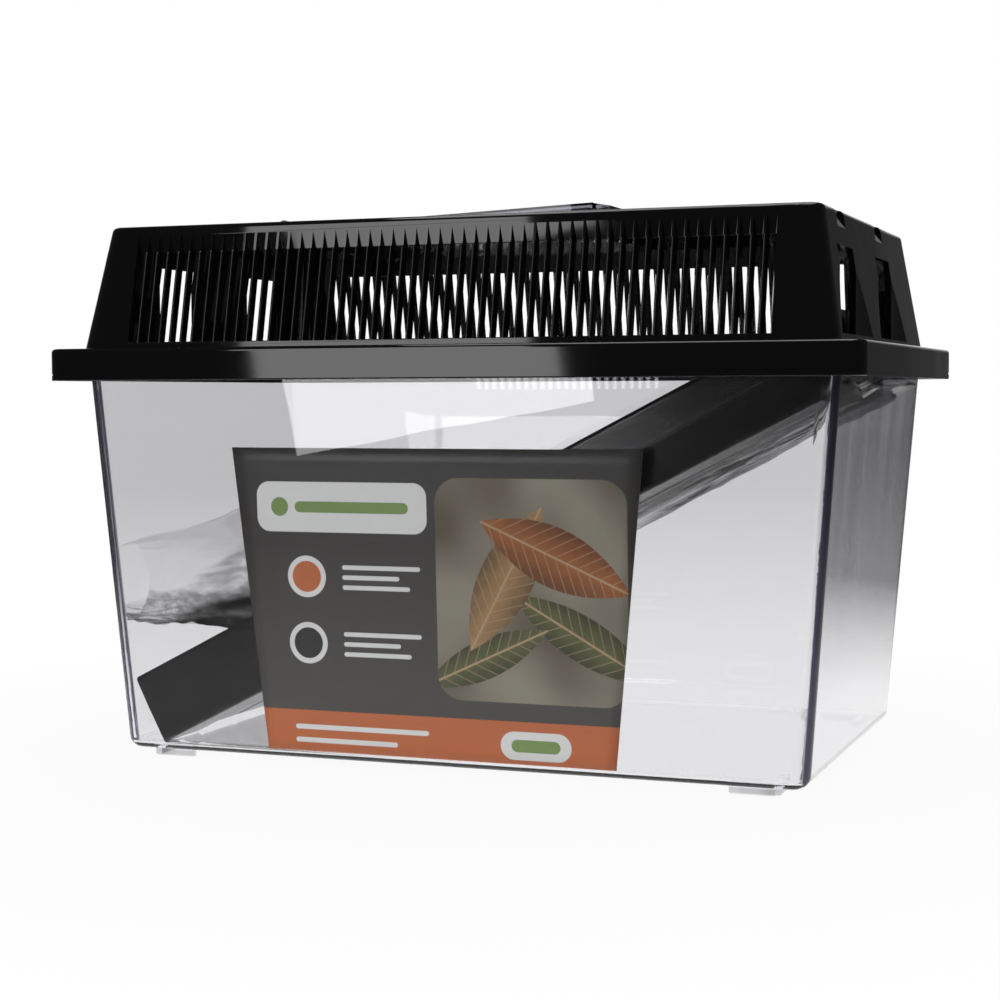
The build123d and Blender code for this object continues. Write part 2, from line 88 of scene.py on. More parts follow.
class Shader:
    """A material with a Principled shader, and short ways to add nodes to it."""

    def __init__(self, name, **values):
        self.material = bpy.data.materials.new(name)
        self.material.use_nodes = True
        self.tree = self.material.node_tree
        self.nodes = self.tree.nodes
        self.surface = self.nodes["Principled BSDF"]
        self.output = self.nodes["Material Output"]
        for socket, value in values.items():
            self.surface.inputs[socket.replace("_", " ")].default_value = value

    def add(self, kind, **settings):
        """A new node; settings are its own properties."""
        node = self.nodes.new("ShaderNode" + kind)
        for key, value in settings.items():
            setattr(node, key, value)
        return node

    def link(self, source, target):
        """Joins an output to an input, or writes a plain value into the input."""
        if isinstance(source, (int, float, tuple)):
            target.default_value = source
        else:
            self.tree.links.new(source, target)

    def math(self, operation, a, b=0.0):
        """One Math node's output."""
        node = self.add("Math", operation=operation)
        self.link(a, node.inputs[0])
        self.link(b, node.inputs[1])
        return node.outputs[0]

    def vector(self, operation, a, b=(0.0, 0.0, 0.0)):
        """One Vector Math node's output."""
        node = self.add("VectorMath", operation=operation)
        self.link(a, node.inputs[0])
        self.link(b, node.inputs[1])
        return node.outputs["Value" if operation in ("LENGTH", "DOT_PRODUCT") else "Vector"]

    def mix(self, factor, a, b):
        """A colour between a and b."""
        node = self.add("Mix", data_type="RGBA")
        self.link(factor, node.inputs["Factor"])
        self.link(a, node.inputs[6])
        self.link(b, node.inputs[7])
        return node.outputs[2]

    def place(self):
        """The point on the surface, in metres in the piece's own frame."""
        return self.add("TexCoord").outputs["Object"]

    def parts(self, vector):
        """A vector's three parts."""
        node = self.add("SeparateXYZ")
        self.link(vector, node.inputs[0])
        return node.outputs

    def millimetres(self):
        """The point on the surface, as three numbers in millimetres."""
        return self.parts(self.vector("MULTIPLY", self.place(), (1000.0, 1000.0, 1000.0)))

    def noise(self, scale, detail=2.0, roughness=0.5, distortion=0.0, stretch=(1.0, 1.0, 1.0)):
        """Noise from 0 to 1 over the surface; scale is in features per metre."""
        node = self.add("TexNoise")
        self.link(self.vector("MULTIPLY", self.place(), stretch), node.inputs["Vector"])
        node.inputs["Scale"].default_value = scale
        node.inputs["Detail"].default_value = detail
        node.inputs["Roughness"].default_value = roughness
        node.inputs["Distortion"].default_value = distortion
        return node.outputs[0]

    def ramp(self, factor, low, high, start=0.0, end=1.0):
        """A number that runs from start to end as factor runs from low to high."""
        node = self.add("MapRange")
        for source, target in zip((factor, low, high, start, end), node.inputs):
            self.link(source, target)
        return node.outputs[0]

    def bump(self, height, distance, strength=1.0):
        """Tilts the surface's shading by a height from 0 to 1, distance metres deep."""
        node = self.add("Bump")
        node.inputs["Strength"].default_value = strength
        node.inputs["Distance"].default_value = distance
        self.link(height, node.inputs["Height"])
        self.link(node.outputs[0], self.surface.inputs["Normal"])

    def let_lamps_through(self, tint):
        """Lets light from the lamps through to what stands behind the clear surface."""
        path = self.add("LightPath")
        clear = self.add("BsdfTransparent")
        clear.inputs[0].default_value = tint
        mixed = self.add("MixShader")
        self.link(path.outputs["Is Shadow Ray"], mixed.inputs[0])
        self.link(self.surface.outputs[0], mixed.inputs[1])
        self.link(clear.outputs[0], mixed.inputs[2])
        self.link(mixed.outputs[0], self.output.inputs["Surface"])


# ---------------------------------------------------------------- materials


BLACK = (0.0028, 0.0028, 0.0034, 1.0)
PLASTIC_IOR = 1.5
TUBE_ROUGHNESS = (0.14, 0.238)
TUBE_RIPPLE = 0.10 * MM
LID_ROUGHNESS = (0.03, 0.06)
LID_RIPPLE = 0.12

# the grille's pitch, rib crest and half length, and the heights between which its ribs stand,
# in millimetres
RIB_PITCH = 4.42
RIB_CREST = 0.9
GRILLE_HALF = 118.0
RIB_FOOT = 153.4
RIB_HEAD = 185.4
RIB_FADE = 0.5
RIB_ROUNDING = 0.16


def black_plastic(name, finest, coarsest):
    """Glossy black moulding, with patches of wear between two roughnesses."""
    shader = Shader(name, Base_Color=BLACK, IOR=PLASTIC_IOR)
    wear = shader.noise(45.0, detail=6.0, roughness=0.65)
    shader.link(shader.ramp(wear, 0.3, 0.75, finest, coarsest), shader.surface.inputs["Roughness"])
    return shader


def tube_plastic():
    """The tubes' black moulding: faint ripples from the mould and a fine grain."""
    shader = black_plastic("black_tube", *TUBE_ROUGHNESS)
    wave = shader.noise(28.0, detail=1.0)
    grain = shader.noise(900.0, detail=2.0)
    shader.bump(shader.math("ADD", wave, shader.math("MULTIPLY", grain, 0.02)), TUBE_RIPPLE)
    return shader.material


def lid_plastic():
    """The lid's black moulding, with the crests of its grille ribs rounded."""
    shader = black_plastic("black_lid", *LID_ROUGHNESS)
    x, _, height = shader.millimetres()
    # how far a point lies from the nearest rib's middle, and where the ribs are
    across = shader.math("PINGPONG", x, RIB_PITCH / 2)
    slope = shader.ramp(across, 0.0, RIB_CREST / 2, 0.0, 1.0)
    beside = shader.ramp(shader.math("ABSOLUTE", x), GRILLE_HALF, GRILLE_HALF + RIB_FADE, 1.0, 0.0)
    below = shader.ramp(height, RIB_HEAD, RIB_HEAD + RIB_FADE, 1.0, 0.0)
    above = shader.ramp(height, RIB_FOOT - RIB_FADE, RIB_FOOT)
    ribs = shader.math("MULTIPLY", beside, shader.math("MULTIPLY", below, above))
    rounding = shader.math("MULTIPLY", shader.math("POWER", slope, 2.0), ribs)
    rounding = shader.math("MULTIPLY", rounding, -RIB_ROUNDING)
    wave = shader.math("MULTIPLY", shader.noise(28.0, detail=1.0), LID_RIPPLE)
    shader.bump(shader.math("ADD", wave, rounding), MM)
    return shader.material


# the clear plastic's colour, what the lamps' light keeps on its way through, and the tint of its depth
CLEAR_TINT = (0.885, 0.885, 0.89, 1.0)
LAMP_TINT = (0.95, 0.95, 0.965, 1.0)
DEPTH_TINT = (0.60, 0.57, 0.80, 1.0)
TANK_DENSITY = 20.0
DOOR_DENSITY = 6.0
CLEAR_RIPPLE = 0.04 * MM

# painted shade for the door's front edge
DOOR_EDGE_SHADE_TINT = (0.10, 0.10, 0.115, 1.0)
# painted light: the walls are paler near the foot
FOOT_LIGHT_TINT = (0.98, 0.98, 0.98, 1.0)
# painted reflection and shade on the right end's upper part
END_SHADE_TINT = (0.34, 0.34, 0.37, 1.0)
# painted shade: a thin dark line along the very foot of the walls
FOOT_SHADE_LINE_TINT = (0.04, 0.04, 0.06, 1.0)
# painted shade: the plastic's own indigo, darkened in the thick front corners, near black at the left
CORNER_SHADE_TINT = (0.035, 0.028, 0.085, 1.0)
LEFT_CORNER_SHADE_TINT = (0.006, 0.005, 0.018, 1.0)

# half the tank's outside length and width in millimetres at height 0, and how they grow with height
TANK_FOOT_HALF = (128.2, 79.98)
TANK_DRAFT = (0.0794, 0.0472)

# how far the painted indigo shade reaches round the front corners, in millimetres from the front and
# from each end
CORNER_REACH = 8.0
RIGHT_BAND = 1.6
LEFT_BAND = 0.9
CORNER_ROUGHNESS = 0.4


def clear_plastic(name, density):
    """Clear moulded plastic that turns indigo where light runs far through it."""
    shader = Shader(
        name, Base_Color=CLEAR_TINT, Roughness=0.0, IOR=PLASTIC_IOR, Transmission_Weight=1.0,
    )
    shader.bump(shader.noise(22.0, detail=1.0), CLEAR_RIPPLE)
    body = shader.add("VolumeAbsorption")
    body.inputs["Color"].default_value = DEPTH_TINT
    body.inputs["Density"].default_value = density
    shader.link(body.outputs[0], shader.output.inputs["Volume"])
    shader.let_lamps_through(LAMP_TINT)
    return shader


def door_plastic():
    """The door's clear plastic, with painted shade along its front edge, where the clear sheet is seen
    edge-on.
    """
    shader = clear_plastic("clear_door", DOOR_DENSITY)
    # painted shade: the door's front edge faces are darkened in its colour
    upward = shader.parts(shader.add("NewGeometry").outputs["Normal"])[2]
    edge = shader.ramp(shader.math("ABSOLUTE", upward), 0.4, 0.7, 1.0, 0.0)
    in_front = shader.ramp(shader.parts(shader.place())[1], -0.045, -0.040, 1.0, 0.0)
    edge = shader.math("MULTIPLY", edge, in_front)
    shader.link(shader.mix(edge, CLEAR_TINT, DOOR_EDGE_SHADE_TINT), shader.surface.inputs["Base Color"])
    return shader.material


def tank_plastic():
    """The tank's clear plastic, with painted indigo shade in its front corners, a painted reflection and
    shade on the upper right end, walls painted paler towards the foot and a painted dark line along the
    foot.
    """
    shader = clear_plastic("clear_tank", TANK_DENSITY)
    x, y, height = shader.millimetres()
    half_x, half_y = (
        shader.math("ADD", shader.math("MULTIPLY", height, draft), foot)
        for draft, foot in zip(TANK_DRAFT, TANK_FOOT_HALF)
    )
    # how deep a point lies behind the outside of the front, right and left walls
    front = shader.math("ADD", half_y, y)
    right = shader.math("SUBTRACT", half_x, x)
    left = shader.math("ADD", half_x, x)
    near_front = shader.math("DIVIDE", front, CORNER_REACH)
    # painted shade: the front corners take the plastic's own indigo, darkened where their depth and
    # bends shade them
    corners = []
    for side, band in ((right, RIGHT_BAND), (left, LEFT_BAND)):
        depth = shader.math("MAXIMUM", near_front, shader.math("DIVIDE", side, band))
        corners.append(shader.ramp(depth, 0.9, 1.1, 1.0, 0.0))
    corner = shader.math("MAXIMUM", *corners)
    tint = shader.mix(corners[1], CORNER_SHADE_TINT, LEFT_CORNER_SHADE_TINT)
    # painted light: the walls are paler towards the foot, where the bright floor shows through
    wall = shader.mix(shader.ramp(height, 4.0, 90.0), FOOT_LIGHT_TINT, CLEAR_TINT)
    # painted reflection and shade: the right end is darkened above its lower part, in vertical streaks
    streaks = shader.noise(60.0, detail=2.0, stretch=(1.0, 1.0, 0.08))
    end = shader.ramp(right, 2.3, 3.0, 1.0, 0.0)
    end = shader.math("MULTIPLY", end, shader.ramp(height, 25.0, 125.0))
    end = shader.math("MULTIPLY", end, shader.ramp(streaks, 0.3, 0.7, 0.75, 1.0))
    wall = shader.mix(end, wall, END_SHADE_TINT)
    # painted shade: a thin dark line along the very foot of the walls
    foot = shader.ramp(height, 1.9, 2.4, 1.0, 0.0)
    foot = shader.math("MULTIPLY", foot, shader.noise(90.0, stretch=(1.0, 0.1, 0.1)))
    wall = shader.mix(foot, wall, FOOT_SHADE_LINE_TINT)
    shader.link(shader.mix(corner, wall, tint), shader.surface.inputs["Base Color"])
    shader.link(shader.math("MULTIPLY", corner, CORNER_ROUGHNESS), shader.surface.inputs["Roughness"])
    return shader.material


# the film's own record of where its layers lie gathered, from 0 to 1, and below 0 where it is clearest
GATHERED = "gathered"

# the film's colour in one layer, in a few layers and in many
FILM_THIN = (0.42, 0.42, 0.43, 1.0)
FILM_FOLDED = (0.10, 0.097, 0.093, 1.0)
FILM_THICK = (0.016, 0.015, 0.014, 1.0)


def film():
    """Thin clear film: nearly unseen face on, grey along its creases and where it is gathered."""
    shader = Shader(
        "clear_film", Base_Color=FILM_THIN, Roughness=0.10, IOR=PLASTIC_IOR,
        Specular_IOR_Level=1.0, Coat_Weight=1.0,
    )
    facing = shader.add("LayerWeight").outputs["Facing"]
    gathered = shader.add("Attribute", attribute_name=GATHERED).outputs["Fac"]
    haze = shader.noise(70.0, detail=4.0)
    edge = shader.ramp(shader.math("POWER", facing, 3.0), 0.0, 1.0, 0.05, 0.75)
    streaks = shader.noise(260.0, detail=2.0, stretch=(0.12, 1.0, 1.0))
    thin = shader.math("MULTIPLY", shader.math("MULTIPLY", gathered, gathered), 0.85)
    layers = shader.math("MULTIPLY", gathered, shader.ramp(streaks, 0.35, 0.65, thin, 1.0))
    alpha = shader.math("ADD", edge, shader.ramp(haze, 0.45, 0.8, 0.0, 0.06))
    alpha = shader.math("MULTIPLY", alpha, shader.ramp(gathered, -1.0, 0.0))
    shader.link(shader.math("MAXIMUM", alpha, layers), shader.surface.inputs["Alpha"])
    colour = shader.mix(shader.ramp(gathered, 0.0, 0.5), FILM_THIN, FILM_FOLDED)
    colour = shader.mix(shader.ramp(gathered, 0.6, 1.0), colour, FILM_THICK)
    shader.link(colour, shader.surface.inputs["Base Color"])
    shader.bump(shader.noise(140.0, detail=2.0, distortion=1.0), 0.15 * MM)
    return shader.material


def assign(name, material):
    """Gives a CAD node its material."""
    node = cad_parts[name]
    node.data.materials.clear()
    node.data.materials.append(material)


# ---------------------------------------------------------------- printed card

CARD_FACE_GAP = 0.45 * MM
CARD_THICKNESS = 0.45 * MM
CARD_STEPS = (30, 22)
CARD_BOW = 0.35 * MM
CARD_CURL = 0.5 * MM


ORANGE = (0.58, 0.155, 0.045, 1.0)
PAPER = (0.82, 0.83, 0.80, 1.0)
SAGE = (0.22, 0.34, 0.10, 1.0)
DEEP = (0.03, 0.03, 0.028, 1.0)
RUST = (0.42, 0.14, 0.035, 1.0)
STRAW = (0.44, 0.26, 0.10, 1.0)
MOSS = (0.14, 0.15, 0.05, 1.0)
LEAF_VEIN = (0.50, 0.34, 0.19, 1.0)

# a leaf's shaded part, and the slant and pitch in millimetres of its side veins
LEAF_SHADE = 0.35
VEIN_SLANT = 0.9
VEIN_PITCH = 4.4

# the leaf panel's middle, half size and corner radius in millimetres on the card
CARD_PANEL = ((33.0, 66.0), (35.0, 39.0), 9.0)

# centre, angle in degrees, half length and half width in millimetres on the card, and colour
CARD_LEAVES = [
    ((52.0, 50.0), 150.0, (30.0, 8.0), MOSS),
    ((16.0, 42.0), 25.0, (26.0, 7.0), MOSS),
    ((24.0, 70.0), 62.0, (29.0, 10.0), STRAW),
    ((42.0, 78.0), -24.0, (30.0, 10.5), RUST),
]

# centre, half size and corner radius in millimetres on the card, and colour
CARD_PATCHES = [
    ((0.0, 12.0), (90.0, 8.5), 0.4, ORANGE),
    ((-32.0, 14.4), (26.0, 0.9), 0.9, PAPER),
    ((-38.0, 9.6), (20.0, 0.9), 0.9, PAPER),
    ((34.0, 12.0), (13.0, 5.0), 5.0, PAPER),
    ((34.0, 12.0), (9.0, 2.2), 2.2, SAGE),
    ((-38.0, 94.0), (33.0, 9.0), 5.0, PAPER),
    ((-34.0, 94.0), (22.0, 2.0), 2.0, SAGE),
    ((-62.0, 94.0), (3.4, 3.4), 3.4, SAGE),
]
for ring_height, ring_paint in ((69.0, ORANGE), (45.0, DEEP)):
    CARD_PATCHES += [
        ((-52.0, ring_height), (7.5, 7.5), 7.5, PAPER),
        ((-52.0, ring_height), (5.6, 5.6), 5.6, ring_paint),
        ((-23.0, ring_height + 3.6), (15.0, 0.8), 0.8, PAPER),
        ((-27.0, ring_height), (11.0, 0.8), 0.8, PAPER),
        ((-25.0, ring_height - 3.6), (13.0, 0.8), 0.8, PAPER),
    ]


def rounded_mask(shader, across, up, centre, half, corner=1.5, edge=0.12):
    """1 inside a rounded rectangle on the card and 0 outside, in millimetres."""
    point = shader.add("CombineXYZ")
    shader.link(shader.math("SUBTRACT", across, centre[0]), point.inputs[0])
    shader.link(shader.math("SUBTRACT", up, centre[1]), point.inputs[1])
    reach = shader.vector("ABSOLUTE", point.outputs[0])
    outside = shader.vector("SUBTRACT", reach, (half[0] - corner, half[1] - corner, 0.0))
    outside = shader.vector("MAXIMUM", outside, (0.0, 0.0, 0.0))
    return shader.ramp(shader.vector("LENGTH", outside), corner - edge, corner + edge, 1.0, 0.0)


def leaf_mask(shader, across, up, centre, angle, half):
    """1 inside a pointed leaf on the card, and how far along and beside its middle a point lies."""
    c, s = math.cos(math.radians(angle)), math.sin(math.radians(angle))
    right = shader.math("SUBTRACT", across, centre[0])
    rise = shader.math("SUBTRACT", up, centre[1])
    along = shader.math("ADD", shader.math("MULTIPLY", right, c), shader.math("MULTIPLY", rise, s))
    beside = shader.math(
        "SUBTRACT", shader.math("MULTIPLY", rise, c), shader.math("MULTIPLY", right, s)
    )
    beside = shader.math("ABSOLUTE", beside)
    reach = shader.math("ADD", shader.math("DIVIDE", beside, half[1]), shader.math(
        "POWER", shader.math("ABSOLUTE", shader.math("DIVIDE", along, half[0])), 2.0
    ))
    return shader.ramp(reach, 0.97, 1.0, 1.0, 0.0), along, beside


def card_print():
    """The card's print: a dark ground, a warm foot, a panel of leaves, rings and plain bars."""
    shader = Shader("card_print", Roughness=0.34, IOR=1.45)
    across, _, up = shader.millimetres()
    # ground: warm dark grey, paler towards the foot
    colour = shader.mix(
        shader.ramp(up, 10.0, 110.0), (0.085, 0.078, 0.068, 1.0), (0.052, 0.049, 0.045, 1.0)
    )
    # panel at the right: a blurred woodland ground with leaves on it
    blur = shader.noise(26.0, detail=1.0)
    panel = shader.mix(shader.ramp(blur, 0.35, 0.65), (0.13, 0.105, 0.07, 1.0), (0.30, 0.28, 0.21, 1.0))
    fine = shader.noise(320.0, detail=3.0)
    for centre, angle, half, paint in CARD_LEAVES:
        mask, along, beside = leaf_mask(shader, across, up, centre, angle, half)
        rib = shader.ramp(beside, 0.25, 0.5, 1.0, 0.0)
        vein = shader.math("ADD", along, shader.math("MULTIPLY", beside, -VEIN_SLANT))
        vein = shader.math("PINGPONG", vein, VEIN_PITCH / 2)
        vein = shader.math("MULTIPLY", shader.ramp(vein, 0.15, 0.4, 1.0, 0.0), 0.45)
        shade = shader.math("ADD", beside, shader.math("MULTIPLY", fine, 6.0))
        shade = shader.ramp(shade, 2.0, half[1] + 3.0)
        blade = shader.mix(shade, paint, tuple(LEAF_SHADE * v for v in paint[:3]) + (1.0,))
        blade = shader.mix(shader.math("MAXIMUM", rib, vein), blade, LEAF_VEIN)
        panel = shader.mix(mask, panel, blade)
    colour = shader.mix(rounded_mask(shader, across, up, *CARD_PANEL), colour, panel)
    for centre, half, corner, paint in CARD_PATCHES:
        mask = rounded_mask(shader, across, up, centre, half, corner)
        colour = shader.mix(mask, colour, paint)
    shader.link(colour, shader.surface.inputs["Base Color"])
    shader.bump(shader.noise(1400.0, detail=2.0), 0.01 * MM)
    return shader.material


def make_card():
    """The card as a slightly bowed sheet just behind the tank's front wall."""
    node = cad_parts["label_card"]
    low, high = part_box("label_card")
    corners = [v.co for v in node.data.vertices]
    foot = [c for c in corners if c.z < low.z + 1.0 * MM]
    head = [c for c in corners if c.z > high.z - 1.0 * MM]
    foot_y, head_y = min(c.y for c in foot), min(c.y for c in head)
    foot_x = (min(c.x for c in foot), max(c.x for c in foot))
    head_x = (min(c.x for c in head), max(c.x for c in head))
    mesh = bmesh.new()
    across, upward = CARD_STEPS
    rows = []
    for j in range(upward + 1):
        v = j / upward
        left = foot_x[0] + (head_x[0] - foot_x[0]) * v
        right = foot_x[1] + (head_x[1] - foot_x[1]) * v
        row = []
        for i in range(across + 1):
            u = i / across
            bow = CARD_BOW * math.sin(math.pi * u) * math.sin(math.pi * v)
            curl = CARD_CURL * (2 * u - 1) ** 6 * v
            y = foot_y + (head_y - foot_y) * v + CARD_FACE_GAP + bow + curl
            row.append(mesh.verts.new((left + (right - left) * u, y, low.z + (high.z - low.z) * v)))
        rows.append(row)
    for lower, upper in zip(rows, rows[1:]):
        for i in range(across):
            mesh.faces.new((lower[i], lower[i + 1], upper[i + 1], upper[i]))
    card = add_piece("card_sheet", mesh, card_print(), "tank")
    solid = card.modifiers.new("thickness", "SOLIDIFY")
    solid.thickness = CARD_THICKNESS
    solid.offset = -1.0
    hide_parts("label_card")


# ---------------------------------------------------------------- film bag

SLOPE = math.radians(27.2)
ALONG = Vector((math.cos(SLOPE), 0.0, math.sin(SLOPE)))
ACROSS = Vector((0.0, 1.0, 0.0))
OVER = Vector((-math.sin(SLOPE), 0.0, math.cos(SLOPE)))

# the tubes' end plates lean by this much along the slope for each step over it
END_LEAN = math.tan(math.radians(23.25))
# how far the tubes' finger lips stand over their tops
LIP = 2.1 * MM

# points in one ring of the film, rings round the tubes and rings along the empty end
BAG_RING = 144
SLEEVE_RINGS = 56
EMPTY_RINGS = 64
FILM_GAP = 0.65 * MM
# how far up the tubes the sleeve becomes the empty end, and where its outer end starts to lean
SLEEVE_START = 0.062
LEAN_START = 0.22
LEAN_RUN = 0.05
# how much smaller each ring of the drawn-in end is than the sleeve
CLOSED_SHARES = (0.04, 0.28, 0.52, 0.76)
# how square the film is round the tubes
SQUARE = 0.16
# how far the film keeps from the tank's outside at the ends and the front, and from its underside
END_CLEARANCE = 2.5 * MM
FRONT_CLEARANCE = 3.6 * MM
FLOOR_CLEARANCE = 5.4 * MM

# lowest, highest, nearest and farthest point of the bag's empty end, from the pack to the mouth,
# in millimetres
BAG_GUIDES = [
    ((-82.0, -5.0, 22.0), (-60.0, -16.0, 76.0), (-66.0, -52.0, 62.0), (-78.0, 34.0, 42.0)),
    ((-97.0, -14.0, 26.0), (-76.0, -46.0, 90.5), (-80.0, -70.0, 68.0), (-92.0, 22.0, 42.0)),
    ((-100.0, -40.0, 43.0), (-90.0, -66.0, 88.0), (-92.0, -76.0, 68.0), (-104.0, 2.0, 50.0)),
    ((-106.0, -60.0, 48.6), (-103.0, -72.0, 84.8), (-104.0, -77.6, 66.0), (-114.0, -22.0, 58.0)),
    ((-118.0, -68.0, 49.2), (-118.5, -74.0, 81.8), (-118.0, -78.2, 64.0), (-124.0, -42.0, 62.0)),
    ((-129.5, -71.0, 51.0), (-130.5, -75.0, 78.0), (-130.5, -78.6, 63.0), (-131.0, -56.0, 66.0)),
]


def ramp_between(value, low, high):
    """0 below low, 1 above high and a soft step between."""
    t = min(1.0, max(0.0, (value - low) / (high - low)))
    return t * t * (3.0 - 2.0 * t)


def ridge(point, scale, seed):
    """Sharp-edged noise from 0 to 1, for creases."""
    value = noise.noise(Vector(point) * scale + Vector((seed, 2.7 * seed, -1.3 * seed)))
    return (1.0 - min(1.0, 2.2 * abs(value))) ** 2


def spline(values, t):
    """Catmull-Rom point at t from 0 to 1 through a list of vectors."""
    span = t * (len(values) - 1)
    i = min(int(span), len(values) - 2)
    f = span - i
    a, b, c, d = (values[min(max(k, 0), len(values) - 1)] for k in (i - 1, i, i + 1, i + 2))
    return 0.5 * (
        (2 * b) + (c - a) * f + (2 * a - 5 * b + 4 * c - d) * f * f
        + (3 * b - a - 3 * c + d) * f ** 3
    )


def pack_box():
    """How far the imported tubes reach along, across and over their own slope."""
    spans = []
    for direction in (ALONG, ACROSS, OVER):
        reach = [
            v.co.dot(direction) for n in (2, 3, 4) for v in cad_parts[f"tube_{n}"].data.vertices
        ]
        spans.append((min(reach), max(reach)))
    return spans


def squarish(angle, power):
    """Cosine and sine pulled out towards a square."""
    c, s = math.cos(angle), math.sin(angle)
    return (
        math.copysign(abs(c) ** power, c),
        math.copysign(abs(s) ** power, s),
    )


def kept_clear(point, reach):
    """Moves a point of the film off the tank's walls, the floor and the tubes."""
    along, across, over = reach
    x, y, z = point
    half_x = (TANK_FOOT_HALF[0] + TANK_DRAFT[0] * z / MM) * MM - END_CLEARANCE
    half_y = (TANK_FOOT_HALF[1] + TANK_DRAFT[1] * z / MM) * MM - FRONT_CLEARANCE
    point = Vector((max(x, -half_x), max(y, -half_y), max(z, FLOOR_CLEARANCE)))
    a, y, h = point.dot(ALONG), point.y, point.dot(OVER)
    loose_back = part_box("tube_1")[1].y
    beside = across[0] - FILM_GAP
    if y < beside and y < loose_back + 0.5 * MM and a > along[0] - 2 * MM:
        top = over[1] - LIP - 0.4 * MM
        if h < top:
            point += OVER * (top - h)
    elif beside < y < across[1] + FILM_GAP and a > along[0] - 1 * MM:
        top, bottom = over[1] - LIP + 1.1 * MM, over[0] - FILM_GAP
        if bottom < h < top:
            point += OVER * (top - h if h > (top + bottom) / 2 else bottom - h)
    return point


def make_bag(material):
    """The crumpled film bag: a sleeve round three tubes, with its empty end turned up at the left."""
    reach = pack_box()
    along, across, over = reach
    top = over[1] - LIP
    mid_y, mid_h = sum(across) / 2, (over[0] + top) / 2
    half_y = (across[1] - across[0]) / 2 + FILM_GAP
    half_h = (top - over[0]) / 2 + FILM_GAP
    mesh = bmesh.new()
    layers = mesh.verts.layers.float.new(GATHERED)
    rings = []

    def ring_on(place_at, station, layers_at):
        """One ring of the film, with how far it is gathered at each point."""
        ring = []
        for k in range(BAG_RING):
            angle = math.tau * k / BAG_RING
            vert = mesh.verts.new(place_at(angle, station))
            vert[layers] = layers_at(angle, station)
            ring.append(vert)
        rings.append(ring)

    def under_pack(angle, station):
        """The film hangs in several layers below the tubes."""
        return 0.85 * ramp_between(-math.sin(angle), 0.55, 0.8)

    def under_flap(angle, station):
        """Pleats in the lower part of the empty end, many layers deep near the tubes."""
        depth = -math.sin(angle)
        pleats = ramp_between(depth, 0.85 * station - 0.56, 0.85 * station - 0.44)
        dark = ramp_between(depth, 1.9 * station - 0.70, 1.9 * station - 0.50)
        return 0.55 * pleats + 0.45 * dark * ramp_between(1.0 - station, 0.15, 0.35)

    def sleeve(angle, station):
        """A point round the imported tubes; station is the distance along them."""
        c, s = squarish(angle, SQUARE)
        loose = 0.35 + 0.65 * min(1.0, abs(station - 0.14) / 0.1)
        crease = ridge((3.0 * math.cos(angle), 3.0 * math.sin(angle), 9.0 * station), 1.6, 3.0)
        fine = ridge((7.0 * math.cos(angle), 7.0 * math.sin(angle), 30.0 * station), 1.5, 11.0)
        near = 1.0 if c > -0.8 else 0.25
        out = (0.15 + near * (2.4 * crease + 0.8 * fine) * loose) * MM
        sag = 2.0 * MM * max(0.0, -s) * math.sin(math.pi * min(1.0, station / 0.26)) ** 2
        y = mid_y + (half_y + out) * c
        h = mid_h + (half_h + out) * s - sag
        # the outer end leans like the tubes' end plates
        a = along[0] + station - max(0.0, station - LEAN_START) / LEAN_RUN * (h - over[0]) * END_LEAN
        return ALONG * a + ACROSS * y + OVER * h

    tube_run = along[1] - along[0] + 0.9 * MM

    def closed_end(angle, share):
        """A point of the bag's end, drawn in flat over the tubes' outer ends."""
        c, s = squarish(angle, SQUARE)
        y, h = mid_y + half_y * share * c, mid_h + half_h * share * s
        a = along[1] + (0.9 - 0.12 * share) * MM - (h - over[0]) * END_LEAN
        return ALONG * a + ACROSS * y + OVER * h

    for share in CLOSED_SHARES:
        ring_on(closed_end, share, lambda angle, station: 0.0)
    for i in range(SLEEVE_RINGS):
        ring_on(sleeve, tube_run - (tube_run - SLEEVE_START) * i / (SLEEVE_RINGS - 1), under_pack)

    guides = [[Vector(p) * MM for p in group] for group in zip(*BAG_GUIDES)]
    start = [sleeve(angle, SLEEVE_START) for angle in (-math.pi / 2, math.pi / 2, math.pi, 0.0)]
    guides = [[first] + group for first, group in zip(start, guides)]

    def empty_end(angle, station):
        """A point round the bag's empty end; station runs from 0 at the pack to 1 at the mouth."""
        low, high, near, far = (spline(group, station) for group in guides)
        centre = (low + high + near + far) / 4
        c, s = squarish(angle, SQUARE + 0.6 * min(1.0, 2.2 * station))
        side = (far - centre) * max(0.0, c) + (near - centre) * max(0.0, -c)
        rise = (high - centre) * max(0.0, s) + (low - centre) * max(0.0, -s)
        point = centre + side + rise
        out = (side + rise).normalized()
        # pleats run along the bag in its lower part, and the rest is nearly smooth
        pleated = ramp_between(-math.sin(angle), 0.85 * station - 0.6, 0.85 * station - 0.3)
        turn_y, turn_h = math.cos(angle), math.sin(angle)
        fold = ridge((5.0 * turn_y, 5.0 * turn_h + 2.5 * station, 0.5 * station), 1.7, 5.0)
        fine = ridge((11.0 * turn_y, 11.0 * turn_h, 0.8 * station), 1.6, 17.0)
        smooth = ridge((1.3 * turn_y, 1.3 * turn_h, 1.6 * station), 1.2, 23.0)
        depth = min(1.0, 2.5 * station) * MM
        pleats = (1.7 * fold + 0.6 * fine - 0.7) * pleated
        point += out * depth * (pleats + 0.9 * (smooth - 0.4) * (1.0 - pleated))
        return kept_clear(point, reach)

    for i in range(1, EMPTY_RINGS + 1):
        ring_on(empty_end, i / EMPTY_RINGS, under_flap)
    for outer, inner in zip(rings, rings[1:]):
        for k in range(BAG_RING):
            mesh.faces.new((outer[k], outer[k - 1], inner[k - 1], inner[k]))
    mesh.faces.new(rings[0])
    bag = add_piece("film_bag", mesh, material, "tube_pack")
    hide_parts("tube_bag")
    make_lap(reach, material)


